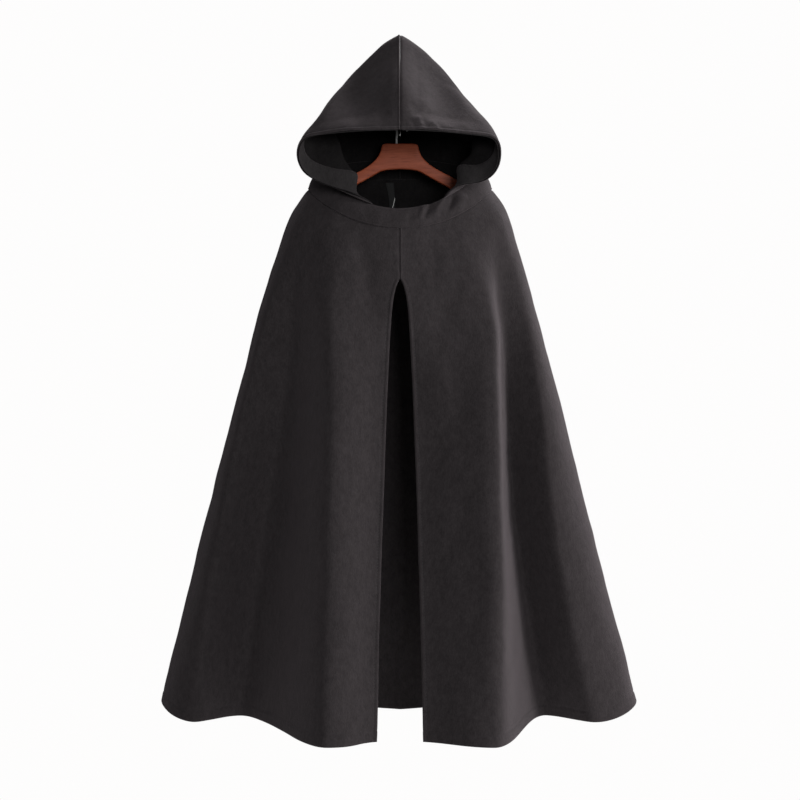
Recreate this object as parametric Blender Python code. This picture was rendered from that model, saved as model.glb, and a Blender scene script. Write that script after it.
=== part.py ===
"""Hooded cape hanging on a small wooden hanger, modelled in metres with +Z up.

The origin is the seat of the hanger's hook. The cape's front faces -Y, and +X is to the right as
one looks at that front. Every cloth piece is a wall of even thickness: its middle surface comes
from sections that are lofted down the body or across the hood, and a seam is a gap between pieces.
"""
import math

import bpy
import numpy as np

# ---- Driving dimensions, metres -------------------------------------------------------------
CLOTH = 0.0020                # thickness of the coating cloth
SEAM_GAP = 0.0003             # between the pieces that are sewn together

SIDES = (("left", -1), ("right", 1))
MIDDLE_Y = -0.02              # the upright line that every wall of cloth faces away from

NECK_HALF_WIDTH = 0.1365      # neck seam, at the sides
NECK_CENTRE_Y = -0.004
NECK_FRONT_DEPTH = 0.096      # from NECK_CENTRE_Y to the seam's front
NECK_BACK_DEPTH = 0.039
NECK_SIDE_Z = -0.121
NECK_FRONT_DROP = 0.0673      # the front of the neck seam hangs lower than its sides
NECK_FRONT_CURVE = 1.6
NECK_BACK_RISE = 0.020
NECK_LEAN = 0.20              # how far the cloth at the neck faces up: at the front, and more at the sides
NECK_SIDE_LEAN = 0.40

BAND_HEIGHT = 0.030
BAND_LEAN = 0.88              # the band's top ring is this share of the neck seam
BAND_SWELL = 0.0030           # the band bows outwards between its two seams

HEM_Z = -0.9087
HEM_SIDE_RISE = 0.0165        # the hem rises towards the two sides
HEM_RISE_FROM = 0.29          # half-width where that rise starts
HEM_RISE_SPAN = 0.07

SLIT_TOP = 0.102              # share of the front's length where the centre seam ends
SLIT_MOUTH = 0.0085           # the gap beside the fold at the top of the slit, each side
SLIT_MOUTH_SPAN = 0.03
SLIT_SPREAD = 0.0235          # how far each edge has moved apart at the hem, beyond the mouth
SLIT_SPREAD_CURVE = 0.7
SLIT_REACH = 0.16             # share of the front's width over which the cloth gives way

# Sections of the front, down the body. share is the place between neck seam and hem. ridge,
# hollow, lobe and side are the lines that the cloth hangs in; x is measured outwards.
FRONT_LINES = (0.0, 0.28, 0.62, 0.80, 1.0)
# Columns: share, edge_y, ridge_x, ridge_y, hollow_x, hollow_y, lobe_x, lobe_y, side_x, side_y
FRONT_LEFT = (
    (0.04, -0.104, 0.069, -0.098, 0.131, -0.067, 0.150, -0.043, 0.1580, 0.000),
    (0.10, -0.109, 0.084, -0.106, 0.144, -0.064, 0.167, -0.046, 0.1780, 0.003),
    (0.30, -0.118, 0.092, -0.134, 0.168, -0.044, 0.208, -0.052, 0.2235, 0.014),
    (0.60, -0.140, 0.095, -0.169, 0.200, -0.014, 0.258, -0.062, 0.2850, 0.028),
    (1.00, -0.196, 0.098, -0.236, 0.240, -0.003, 0.305, -0.056, 0.3610, 0.035),
)
FRONT_RIGHT = (
    (0.04, -0.104, 0.076, -0.096, 0.132, -0.064, 0.149, -0.042, 0.1570, 0.000),
    (0.10, -0.108, 0.104, -0.101, 0.143, -0.058, 0.162, -0.040, 0.1740, 0.003),
    (0.30, -0.114, 0.131, -0.133, 0.157, -0.040, 0.195, -0.054, 0.2170, 0.014),
    (0.60, -0.138, 0.134, -0.173, 0.171, -0.014, 0.225, -0.064, 0.2780, 0.028),
    (1.00, -0.196, 0.126, -0.236, 0.220, 0.000, 0.286, -0.055, 0.3585, 0.035),
)
# Sections of the back. The columns give the depth of its shallow flutes.
BACK_LINES = (0.0, 0.20, 0.46, 0.73, 1.0)
BACK_SHARES = (1.0, 0.84, 0.56, 0.27, 0.0)
# Columns: share, outer_y, hollow_y, inner_y, centre_y
BACK = (
    (0.04, 0.028, 0.037, 0.041, 0.040),
    (0.10, 0.038, 0.042, 0.048, 0.045),
    (0.30, 0.052, 0.045, 0.060, 0.049),
    (0.60, 0.064, 0.045, 0.069, 0.049),
    (1.00, 0.074, 0.043, 0.078, 0.047),
)

# The seam over the middle of the hood, from the forehead over the peak to the back of the neck.
# Columns: y, z
HOOD_SEAM = (
    (-0.1300, -0.0507),
    (-0.0620, 0.0320),
    (0.0060, 0.0995),
    (0.0290, 0.1164),
    (0.0440, 0.0980),
    (0.0540, 0.0300),
    (0.0460, -0.0300),
)
HOOD_NAPE_BOW = 0.003
# The line up each side of the hood to its peak, between the neck band and the middle seam.
# Columns: x, y, z
HOOD_CREST = (
    (0.1195, -0.006, -0.0560),
    (0.0960, -0.004, -0.0190),
    (0.0745, 0.006, 0.0300),
    (0.0505, 0.020, 0.0760),
    (0.0185, 0.027, 0.1060),
)
HOOD_CREST_PLACE = 0.60       # share of the way from the face edge to the nape

# The hood's face edge, between the neck band and the forehead.
# Columns: x, y, z
HOOD_EDGE_LEFT = (
    (0.0790, -0.0895, -0.1345),
    (0.1180, -0.0890, -0.1205),
    (0.1401, -0.0930, -0.1053),
    (0.1480, -0.1000, -0.0847),
    (0.1415, -0.1080, -0.0644),
    (0.1072, -0.1180, -0.0545),
    (0.0570, -0.1260, -0.0515),
)
HOOD_EDGE_RIGHT = (
    (0.0840, -0.0880, -0.1275),
    (0.1200, -0.0890, -0.1195),
    (0.1370, -0.0930, -0.1070),
    (0.1440, -0.1000, -0.0870),
    (0.1390, -0.1080, -0.0640),
    (0.1100, -0.1180, -0.0560),
    (0.0620, -0.1260, -0.0525),
)
HOOD_EDGE_START = {"left": 18.0, "right": 31.5}    # degrees round the band from its front
# Where the hood's cloth swells or folds: back and up are shares of the half hood, reach is how far
# from there it is felt, and x (outwards), y and z are the move at its middle. The first rows shape
# both halves alike: they slope back from the middle seam as a roof does.
# Columns: back, back_reach, up, up_reach, x, y, z
HOOD_FORM = (
    (0.26, 0.22, 0.78, 0.15, -0.002, 0.022, 0.000),
    (0.26, 0.13, 0.54, 0.10, -0.008, 0.000, 0.000),
    (0.50, 0.12, 0.65, 0.06, 0.004, 0.000, 0.000),
)
HOOD_FOLDS_LEFT = (
    (0.30, 0.24, 0.20, 0.15, -0.046, -0.004, 0.012),
    (0.10, 0.12, 0.10, 0.10, -0.014, 0.004, 0.012),
)
HOOD_FOLDS_RIGHT = (
    (0.32, 0.24, 0.20, 0.15, -0.036, -0.002, 0.010),
    (0.10, 0.12, 0.10, 0.10, -0.012, 0.006, 0.012),
)

FACING = 0.0012               # thickness of the strip inside the hood's face edge
FACING_GAP = 0.0007
FACING_END = 0.8              # how far it goes into the last step before the seam over the head

LABEL_SIZE = (0.013, 0.0006, 0.042)    # width, thickness, length
LABEL_X = -0.0167
LABEL_TOP = 0.004             # below the neck seam

HANGER_THICK = 0.012
HANGER_EDGE = 0.0025          # rounding of the wood's edges
HANGER_NOSE = (0.1488, -0.1440)   # the end of each arm
# Columns: x, upper_z, lower_z
HANGER = (
    (0.0000, -0.0520, -0.0849),
    (0.0265, -0.0520, -0.0920),
    (0.0310, -0.0680, -0.0945),
    (0.0405, -0.0800, -0.1000),
    (0.0596, -0.0930, -0.1105),
    (0.0900, -0.1082, -0.1258),
    (0.1200, -0.1235, -0.1400),
    (0.1430, -0.1365, -0.1500),
)
HOOK_WIRE = 0.0018            # radius
HOOK_INSIDE = 0.0165          # radius of the bend's inside
HOOK_STEM_X = -0.0050
HOOK_STEM_TOP = -0.030
HOOK_STEM_STEPS = 4
HOOK_SUNK = 0.012             # depth of the stem's bore in the hub
HOOK_BEND_FROM = -75          # degrees from straight up, where the bend leaves the stem
HOOK_BEND_TO = 150
HOOK_BEND_STEPS = 16
HOOK_POINTS = 40

# How finely the walls are divided. The front half of the neck has twice the back's steps.
FRONT_STEPS = 20
BACK_STEPS = 10
ROWS_ABOVE_SLIT = 5
ROWS_BELOW_SLIT = 18
ROW_CROWDING = 1.35
BAND_STEPS = 3
HOOD_STEPS = 18
FACING_STEPS = 3              # the facing's width, in steps of the hood


# ---- Curves and surfaces --------------------------------------------------------------------
def natural_spline(knots, values, at):
    """The natural cubic spline through values, one row for each knot, read at each place in at."""
    knots = np.asarray(knots, float)
    values = np.asarray(values, float)
    step = np.diff(knots)
    count = len(knots)
    matrix = np.eye(count)
    right = np.zeros_like(values)
    for i in range(1, count - 1):
        matrix[i, i - 1:i + 2] = step[i - 1], 2 * (step[i - 1] + step[i]), step[i]
        rise = (values[i + 1] - values[i]) / step[i] - (values[i] - values[i - 1]) / step[i - 1]
        right[i] = 6 * rise
    bend = np.linalg.solve(matrix, right.reshape(count, -1)).reshape(values.shape)
    at = np.asarray(at, float)
    i = np.clip(np.searchsorted(knots, at, side="right") - 1, 0, count - 2)
    width = step[i]
    past = at - knots[i]
    tail = [1] * (values.ndim - 1)
    width, past = width.reshape(-1, *tail), past.reshape(-1, *tail)
    slope = (values[i + 1] - values[i]) / width - width * (2 * bend[i] + bend[i + 1]) / 6
    twist = (bend[i + 1] - bend[i]) / (6 * width)
    return values[i] + slope * past + bend[i] * past**2 / 2 + twist * past**3


def hermite(knots, values, slopes, at):
    """The cubic curve with these values and slopes at its knots."""
    i = np.clip(np.searchsorted(knots, at, side="right") - 1, 0, len(knots) - 2)
    width = knots[i + 1] - knots[i]
    s = (at - knots[i]) / width
    return ((1 + 2 * s) * (1 - s)**2 * values[i] + s * (1 - s)**2 * width * slopes[i]
            + s**2 * (3 - 2 * s) * values[i + 1] + s**2 * (s - 1) * width * slopes[i + 1])


def hanging_line(knots, x, y, at, round_start=False, round_end=False):
    """A section of hanging cloth through its ridges and hollows. A rounded end turns square to X."""
    knots, x, y = (np.asarray(a, float) for a in (knots, x, y))
    dx, dy = np.diff(x) / np.diff(knots), np.diff(y) / np.diff(knots)
    slope_x, slope_y = np.empty_like(x), np.empty_like(y)
    slope_x[1:-1] = 2 * dx[:-1] * dx[1:] / (dx[:-1] + dx[1:])
    turns = dy[:-1] * dy[1:] <= 0
    slope_y[1:-1] = np.where(turns, 0, 2 * dy[:-1] * dy[1:] / np.where(turns, 1, dy[:-1] + dy[1:]))
    slope_x[0], slope_y[0] = (0, 1.5 * dy[0]) if round_start else (dx[0], dy[0])
    slope_x[-1], slope_y[-1] = (0, 1.5 * dy[-1]) if round_end else (dx[-1], dy[-1])
    return hermite(knots, x, slope_x, at), hermite(knots, y, slope_y, at)


def smooth_step(x):
    x = np.clip(x, 0, 1)
    return x * x * (3 - 2 * x)


def neck_ring(degrees, share=1.0):
    """Points of the neck seam, by degrees round from its front, +X first. share shrinks the ring."""
    a = np.radians(degrees)
    front = np.maximum(np.cos(a), 0)
    back = np.maximum(-np.cos(a), 0)
    x = share * NECK_HALF_WIDTH * np.sin(a)
    y = NECK_CENTRE_Y + share * (NECK_BACK_DEPTH * back - NECK_FRONT_DEPTH * front)
    z = NECK_SIDE_Z - NECK_FRONT_DROP * front**NECK_FRONT_CURVE + NECK_BACK_RISE * back**NECK_FRONT_CURVE
    return np.stack([x, y, z], axis=-1)


def hem_height(x):
    return HEM_Z + HEM_SIDE_RISE * np.maximum((np.abs(x) - HEM_RISE_FROM) / HEM_RISE_SPAN, 0)**2


def slit_opening(share):
    """How far each front edge stands from the centre line."""
    s = np.clip((share - SLIT_TOP) / (1 - SLIT_TOP), 0, 1)
    return SLIT_MOUTH * (1 - np.exp(-s / SLIT_MOUTH_SPAN)) + SLIT_SPREAD * s**SLIT_SPREAD_CURVE


def lofted(sections, shares, ring, down):
    """Points at [down, across] from sections (n, across, 2) in X and Y, with the neck ring on top."""
    plan = natural_spline([0.0, *shares], np.stack([ring[:, :2], *sections]), down)
    z = ring[None, :, 2] * (1 - down[:, None]) + hem_height(plan[-1:, :, 0]) * down[:, None]
    if down[-1] < 1:
        low = natural_spline([0.0, *shares], np.stack([ring[:, :2], *sections]), [1.0])[0, :, 0]
        z = ring[None, :, 2] * (1 - down[:, None]) + hem_height(low)[None] * down[:, None]
    return np.concatenate([plan, z[..., None]], axis=-1)


def front_surface(side, across, down):
    """The front's middle surface: across runs from the centre to the side seam, down to the hem."""
    table, sign = (FRONT_LEFT, -1) if side == "left" else (FRONT_RIGHT, 1)
    sections = []
    for share, edge_y, ridge_x, ridge_y, hollow_x, hollow_y, lobe_x, lobe_y, side_x, side_y in table:
        x, y = hanging_line(FRONT_LINES, (0, ridge_x, hollow_x, lobe_x, side_x),
                            (edge_y, ridge_y, hollow_y, lobe_y, side_y), across, round_end=True)
        sections.append(np.stack([x, y], axis=-1))
    points = lofted(sections, [row[0] for row in table], neck_ring(90 * across), down)
    points[..., 0] += slit_opening(down)[:, None] * np.exp(-(across / SLIT_REACH)**2)[None]
    points[..., 0] *= sign
    return points


def back_surface(across, down):
    """The back's middle surface: across runs from -1 at the left side seam to 1 at the right one."""
    place = 1 - np.abs(across)
    sections = []
    for left, right, row in zip(FRONT_LEFT, FRONT_RIGHT, BACK):
        side_y = left[-1]
        x, y = hanging_line(BACK_LINES, np.array(BACK_SHARES), (side_y, *row[1:]), place, round_start=True)
        half = (left[-2] + right[-2]) / 2 + (right[-2] - left[-2]) / 2 * x * np.sign(across)
        sections.append(np.stack([x * half * np.sign(across), y], axis=-1))
    return lofted(sections, [row[0] for row in BACK], neck_ring(180 - 90 * across), down)


def band_surface(degrees, up):
    """The neck band, from the neck seam (up 0) to its top edge (up 1)."""
    low, high = neck_ring(degrees), neck_ring(degrees, BAND_LEAN)
    high[..., 2] += BAND_HEIGHT
    swell = BAND_SWELL * 4 * up * (1 - up)
    a = np.radians(degrees)
    outwards = np.stack([np.sin(a), -np.cos(a), np.zeros_like(a)], axis=-1)
    return low[None] + (high - low)[None] * up[:, None, None] + outwards[None] * swell[:, None, None]


def along(points, share):
    """Places along a smooth curve through points, by share of its length."""
    points = np.asarray(points, float)
    length = np.concatenate([[0], np.cumsum(np.linalg.norm(np.diff(points, axis=0), axis=1))])
    return natural_spline(length / length[-1], points, share)


def bowed(start, end, bow, direction, share):
    """A line from start to end that bows out by bow at its middle."""
    start, end, direction = (np.asarray(p, float) for p in (start, end, direction))
    share = np.asarray(share, float)[:, None]
    return start + (end - start) * share + direction * bow * 4 * share * (1 - share)


def hood_surface(side, back, up):
    """Half the hood at [up, back]: back runs from the face edge to the nape, up from the neck band to
    the middle seam. It is lofted through the face edge, the crest and the nape, then eased onto the
    band and the seam, and the folds are laid in."""
    edge, folds, sign = ((HOOD_EDGE_LEFT, HOOD_FOLDS_LEFT, -1) if side == "left"
                         else (HOOD_EDGE_RIGHT, HOOD_FOLDS_RIGHT, 1))
    start = HOOD_EDGE_START[side]

    def on_band(place):
        return band_surface(start + (180 - start) * np.asarray(place, float), np.array([1.0]))[0]

    def on_seam(place):
        return along([(0.0, y, z) for y, z in HOOD_SEAM], np.asarray(place, float))

    knots = [0.0, HOOD_CREST_PLACE, 1.0]
    foot, top = on_band(knots), on_seam(knots)
    face = along([foot[0], *edge, top[0]], up)
    crest = along([foot[1], *HOOD_CREST, top[1]], up)
    nape = bowed(foot[2], top[2], HOOD_NAPE_BOW, (0, 1, 0), up)
    lofted_hood = natural_spline(knots, np.stack([face, crest, nape]), back).transpose(1, 0, 2)
    b, u = back[None, :, None], up[:, None, None]
    lift = natural_spline(knots, foot, back), natural_spline(knots, top, back)
    points = lofted_hood + (1 - u) * (on_band(back) - lift[0])[None] + u * (on_seam(back) - lift[1])[None]
    for place, reach, height, height_reach, x, y, z in (*HOOD_FORM, *folds):
        felt = np.exp(-((b - place) / reach)**2 - ((u - height) / height_reach)**2)
        felt = felt * smooth_step(b / 0.10) * smooth_step(u / 0.12) * smooth_step((1 - u) / 0.10)
        points = points + felt * smooth_step((1 - b) / 0.3) * np.array([x, y, z])
    points[..., 0] *= sign
    return points


# ---- Walls of cloth -------------------------------------------------------------------------
def unit(vectors):
    return vectors / np.maximum(np.linalg.norm(vectors, axis=-1, keepdims=True), 1e-12)


def outward_normals(points):
    """Unit normals at points [i, j], on the side that faces away from the garment's middle line."""
    a, b, c, d = points[:-1, :-1], points[:-1, 1:], points[1:, 1:], points[1:, :-1]
    one, other = np.cross(b - a, c - a), np.cross(c - a, d - a)
    normals = np.zeros_like(points)
    normals[:-1, :-1] += one + other
    normals[:-1, 1:] += one
    normals[1:, 1:] += one + other
    normals[1:, :-1] += other
    away = (points - np.array([0.0, MIDDLE_Y, 0.0])) * np.array([1, 1, 0])
    return unit(normals) * np.sign(np.sum(normals * away))


def neck_outward(degrees):
    """The direction in which every wall that meets at the neck band is thick, round from the front."""
    a = np.radians(degrees)
    depth = np.where(np.cos(a) > 0, NECK_FRONT_DEPTH, NECK_BACK_DEPTH)
    lean = NECK_LEAN + NECK_SIDE_LEAN * np.sin(a)**2
    flat = unit(np.stack([np.sin(a) / NECK_HALF_WIDTH, -np.cos(a) / depth, np.zeros_like(a)], axis=-1))
    return unit(flat + lean[:, None] * np.array([0, 0, 1]))


def clear_of_centre(points, offset, sign):
    """points moved out from the plane X = 0 where the wall round them would cross half the seam's gap."""
    least = SEAM_GAP / 2 + CLOTH / 2 * np.abs(offset[..., 0])
    moved = points.copy()
    moved[..., 0] = sign * np.maximum(sign * points[..., 0], least)
    return moved


def material(name, colour, roughness, metallic=0.0):
    made = bpy.data.materials.new(name)
    made.use_nodes = True
    shader = made.node_tree.nodes["Principled BSDF"]
    shader.inputs["Base Color"].default_value = (*colour, 1)
    shader.inputs["Roughness"].default_value = roughness
    shader.inputs["Metallic"].default_value = metallic
    made.diffuse_color = (*colour, 1)
    return made


def add_object(name, data, finish):
    made = bpy.data.objects.new(name, data)
    bpy.context.scene.collection.objects.link(made)
    made.data.materials.append(finish)
    return made


def add_mesh(name, points, faces, finish):
    mesh = bpy.data.meshes.new(name)
    mesh.from_pydata([tuple(p) for p in points], [], [tuple(f) for f in faces])
    mesh.shade_smooth()
    mesh.set_sharp_from_angle(angle=math.radians(60))
    return add_object(name, mesh, finish)


def wall(name, middle, offset, finish, thickness=CLOTH):
    """A closed wall round the middle points [i, j], whose outside is middle + offset * thickness / 2."""
    rows, columns = middle.shape[:2]
    outer, inner = middle + offset * thickness / 2, middle - offset * thickness / 2
    count = rows * columns
    index = np.arange(count).reshape(rows, columns)
    # Every cell is split along the same diagonal, so that walls that lie on each other stay parallel.
    a, b, c, d = index[:-1, :-1], index[:-1, 1:], index[1:, 1:], index[1:, :-1]
    sheet = np.concatenate([np.stack([a, b, c], axis=-1), np.stack([a, c, d], axis=-1)]).reshape(-1, 3)
    border = np.concatenate([index[0, :-1], index[:-1, -1], index[-1, :0:-1], index[:0:-1, 0]])
    after = np.roll(border, -1)
    rim = np.concatenate([np.stack([after, border, border + count], axis=-1),
                          np.stack([after, border + count, after + count], axis=-1)])
    faces = np.concatenate([sheet, sheet[:, ::-1] + count, rim])
    diagonal, other = middle[1:, 1:] - middle[:-1, :-1], middle[1:, :-1] - middle[:-1, 1:]
    if np.sum(np.cross(diagonal, other) * offset[:-1, :-1]) < 0:
        faces = faces[:, ::-1]
    points = np.concatenate([outer.reshape(-1, 3), inner.reshape(-1, 3)])
    return add_mesh(name, points, faces, finish)


# ---- The body: two fronts and a back --------------------------------------------------------
def body_rows():
    """Places down the body: closer near the neck and the top of the slit."""
    above = np.linspace(0, SLIT_TOP, ROWS_ABOVE_SLIT)
    below = SLIT_TOP + (1 - SLIT_TOP) * np.linspace(0, 1, ROWS_BELOW_SLIT)[1:]**ROW_CROWDING
    return np.concatenate([above, below])


def add_body_panel(name, points, degrees, cloth, sign=0):
    """A panel that hangs from the neck seam. sign is the side that a front lies on, and 0 is the back."""
    offset = outward_normals(points)
    offset[0] = neck_outward(degrees)
    points[0, :, 2] -= SEAM_GAP / 2
    side_columns = [-1] if sign else [0, -1]
    offset[:, side_columns] = unit(offset[:, side_columns] * np.array([1, 0, 1]))
    points[:, side_columns, 1] += -SEAM_GAP / 2 if sign else SEAM_GAP / 2
    if sign:
        points = clear_of_centre(points, offset, sign)
    return wall(name, points, offset, cloth)


def add_body(cloth):
    across, down = np.linspace(0, 1, FRONT_STEPS + 1), body_rows()
    for side, sign in SIDES:
        add_body_panel("front_" + side, front_surface(side, across, down), sign * 90 * across, cloth, sign)
    across = np.linspace(-1, 1, 2 * BACK_STEPS + 1)
    add_body_panel("back", back_surface(across, down), 180 - 90 * across, cloth)


# ---- The neck band and the hood -------------------------------------------------------------
def add_neck_band(cloth):
    """One strip all round the neck, whose ends meet at the middle of the back."""
    back = np.linspace(90, 180, BACK_STEPS + 1)
    front = np.linspace(-90, 90, 2 * FRONT_STEPS + 1)
    degrees = np.concatenate([-back[:0:-1], front, back[1:]])
    points = band_surface(degrees, np.linspace(0, 1, BAND_STEPS + 1))
    offset = outward_normals(points)
    offset[[0, -1]] = neck_outward(degrees)
    offset[:, [0, -1]] = unit(offset[:, [0, -1]] * np.array([0, 1, 1]))
    points[0, :, 2] += SEAM_GAP / 2
    points[-1, :, 2] -= SEAM_GAP / 2
    points[:, 0, 0] -= SEAM_GAP / 2
    points[:, -1, 0] += SEAM_GAP / 2
    return wall("neck_band", points, offset, cloth)


def hood_columns(side):
    """Degrees round the neck from the hood's face edge to its back seam, at the neck band's own steps."""
    front = np.arange(HOOD_EDGE_START[side], 90, 90 / FRONT_STEPS)
    return np.concatenate([front, np.linspace(90, 180, BACK_STEPS + 1)])


def add_hood_half(side, sign, cloth, lining):
    """One side of the hood, and the strip that faces the inside of its edge."""
    degrees, start = hood_columns(side), HOOD_EDGE_START[side]
    points = hood_surface(side, (degrees - start) / (180 - start), np.linspace(0, 1, HOOD_STEPS + 1))
    offset = outward_normals(points)
    offset[0] = neck_outward(sign * degrees)
    points[0, :, 2] += SEAM_GAP / 2
    points = clear_of_centre(points, offset, sign)
    wall("hood_" + side, points, offset, cloth)
    # The facing lies on the hood's own points, and stops just short of the seam over the head.
    strip, normals = points[1:, :FACING_STEPS + 1], offset[1:, :FACING_STEPS + 1]
    strip[-1] = FACING_END * strip[-1] + (1 - FACING_END) * strip[-2]
    strip = strip - normals * (CLOTH / 2 + FACING_GAP + FACING / 2)
    wall("hood_facing_" + side, strip, normals, lining, FACING)


def add_label(finish):
    """The label hangs from the neck seam, on the inside of the back."""
    width, thickness, length = LABEL_SIZE
    across = np.degrees(np.arcsin((LABEL_X + width / 2 * np.array([-1, 0, 1])) / NECK_HALF_WIDTH)) / 90
    down = (LABEL_TOP + length * np.linspace(0, 1, 7)) / (NECK_SIDE_Z - HEM_Z)
    points = back_surface(across, down)
    offset = outward_normals(points)
    points = points - offset * (CLOTH / 2 + FACING_GAP + thickness / 2)
    wall("neck_label", points, offset, finish, thickness)


# ---- The hanger -----------------------------------------------------------------------------
def add_hanger(wood):
    """A flat board with rounded edges. A bore in its hub takes the hook's stem."""
    x = np.array([row[0] for row in HANGER])
    edges = []
    for column in (1, 2):
        knots = [row[column] for row in HANGER]
        edges.append(np.stack([x, knots], axis=-1))
    upper, lower = edges
    half = np.concatenate([upper, [HANGER_NOSE], lower[::-1]])
    left = half[(half[:, 0] > 0)][::-1] * np.array([-1, 1])
    outline = np.concatenate([half, left])
    count = len(outline)
    points = [(x, y, z) for y in (-HANGER_THICK / 2, HANGER_THICK / 2) for x, z in outline]
    ring = list(range(count))
    faces = [tuple(ring), tuple(i + count for i in reversed(ring))]
    faces += [((i + 1) % count, i, i + count, (i + 1) % count + count) for i in ring]
    board = add_mesh("hanger", points, faces, wood)
    rounding = board.modifiers.new("rounded_edges", "BEVEL")
    rounding.width = HANGER_EDGE
    rounding.segments = 2
    rounding.angle_limit = math.radians(50)
    bpy.ops.mesh.primitive_cylinder_add(vertices=16, radius=HOOK_WIRE + SEAM_GAP, depth=2 * HOOK_SUNK,
                                        location=(HOOK_STEM_X, 0, HANGER[0][1]))
    bore = bpy.context.object
    bore.name = "hook_bore"
    bore.hide_render = True
    bore.display_type = "WIRE"
    cut = board.modifiers.new("hook_bore", "BOOLEAN")
    cut.operation = "DIFFERENCE"
    cut.object = bore
    return board


def hook_line():
    """The wire's middle line: straight up from the hub, then round the bend to its free end."""
    bend = HOOK_INSIDE + HOOK_WIRE
    stem = [(HOOK_STEM_X, z) for z in
            np.linspace(HANGER[0][1] - HOOK_SUNK + SEAM_GAP, HOOK_STEM_TOP, HOOK_STEM_STEPS)]
    centre_z = -HOOK_INSIDE
    angles = np.radians(np.linspace(HOOK_BEND_FROM, HOOK_BEND_TO, HOOK_BEND_STEPS))
    arc = [(bend * math.sin(a), centre_z + bend * math.cos(a)) for a in angles]
    knots = np.array([*stem, *arc])
    length = np.concatenate([[0], np.cumsum(np.linalg.norm(np.diff(knots, axis=0), axis=1))])
    return natural_spline(length, knots, np.linspace(0, length[-1], HOOK_POINTS))


def add_hook(steel):
    line = hook_line()
    data = bpy.data.curves.new("hanger_hook", "CURVE")
    data.dimensions = "3D"
    data.bevel_depth = HOOK_WIRE
    data.bevel_resolution = 2
    data.use_fill_caps = True
    spline = data.splines.new("POLY")
    spline.points.add(len(line) - 1)
    for point, (x, z) in zip(spline.points, line):
        point.co = (x, 0, z, 1)
    return add_object("hanger_hook", data, steel)


def main():
    for old in list(bpy.data.objects):
        bpy.data.objects.remove(old)
    cloth = material("coating_cloth", (0.035, 0.033, 0.034), 0.9)
    facing = material("facing_cloth", (0.030, 0.028, 0.029), 0.85)
    label = material("label_satin", (0.012, 0.012, 0.013), 0.5)
    wood = material("stained_wood", (0.17, 0.048, 0.024), 0.45)
    steel = material("plated_steel", (0.62, 0.62, 0.61), 0.25, 1.0)
    add_body(cloth)
    add_neck_band(cloth)
    for side, sign in SIDES:
        add_hood_half(side, sign, cloth, facing)
    add_label(label)
    add_hanger(wood)
    add_hook(steel)


main()
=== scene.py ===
"""The looks of the hooded cape on its hanger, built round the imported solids, in metres with +Z up.

The cloth shells follow the same tables and functions as the solids, at finer steps, with rounded
edges, seams, stitches and small creases. The origin is the hook's seat, and the cape's front
faces -Y.
"""

import math

import bpy
import numpy as np
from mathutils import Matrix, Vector


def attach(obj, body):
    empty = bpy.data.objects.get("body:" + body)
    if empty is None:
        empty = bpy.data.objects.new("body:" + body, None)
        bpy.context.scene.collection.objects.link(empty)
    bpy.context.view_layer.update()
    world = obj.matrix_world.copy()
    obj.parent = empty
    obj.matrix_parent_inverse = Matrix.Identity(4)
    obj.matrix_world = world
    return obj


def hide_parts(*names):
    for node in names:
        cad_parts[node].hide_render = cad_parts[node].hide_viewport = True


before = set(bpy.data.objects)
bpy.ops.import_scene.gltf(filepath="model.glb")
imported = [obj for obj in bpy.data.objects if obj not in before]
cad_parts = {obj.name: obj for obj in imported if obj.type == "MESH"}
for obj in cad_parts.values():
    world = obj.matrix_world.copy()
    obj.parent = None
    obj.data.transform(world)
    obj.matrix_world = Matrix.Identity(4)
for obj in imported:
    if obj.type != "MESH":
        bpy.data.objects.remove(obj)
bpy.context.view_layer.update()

# ---- Sizes and tables of the solids, metres
CLOTH = 0.0020  # thickness of the coating cloth
SEAM_GAP = 0.0003  # between the pieces that are sewn together

SIDES = (("left", -1), ("right", 1))
MIDDLE_Y = -0.02  # the upright line that every wall of cloth faces away from

NECK_HALF_WIDTH = 0.1365  # neck seam, at the sides
NECK_CENTRE_Y = -0.004
NECK_FRONT_DEPTH = 0.096  # from NECK_CENTRE_Y to the seam's front
NECK_BACK_DEPTH = 0.039
NECK_SIDE_Z = -0.121
NECK_FRONT_DROP = 0.0673  # the front of the neck seam hangs lower than its sides
NECK_FRONT_CURVE = 1.6
NECK_BACK_RISE = 0.020
NECK_LEAN = 0.20  # how far the cloth at the neck faces up
NECK_SIDE_LEAN = 0.40  # added at the sides

BAND_HEIGHT = 0.030
BAND_LEAN = 0.88  # the band's top ring is this share of the neck seam
BAND_SWELL = 0.0030  # the band bows outwards between its two seams

HEM_Z = -0.9087
HEM_SIDE_RISE = 0.0165  # the hem rises towards the two sides
HEM_RISE_FROM = 0.29  # half-width where that rise starts
HEM_RISE_SPAN = 0.07

SLIT_TOP = 0.102  # share of the front's length where the centre seam ends
SLIT_MOUTH = 0.0085  # the gap beside the fold at the top of the slit, each side
SLIT_MOUTH_SPAN = 0.03
SLIT_SPREAD = 0.0235  # how far each edge has moved apart at the hem, beyond the mouth
SLIT_SPREAD_CURVE = 0.7
SLIT_REACH = 0.16  # share of the front's width over which the cloth gives way

# Sections of the front, down the body. share is the place between neck seam and hem. ridge,
# hollow, lobe and side are the lines that the cloth hangs in; x is measured outwards.
FRONT_LINES = (0.0, 0.28, 0.62, 0.80, 1.0)
ROUND_END = 1.5  # the slope at a section's rounded end, as a share of its last chord's
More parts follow.
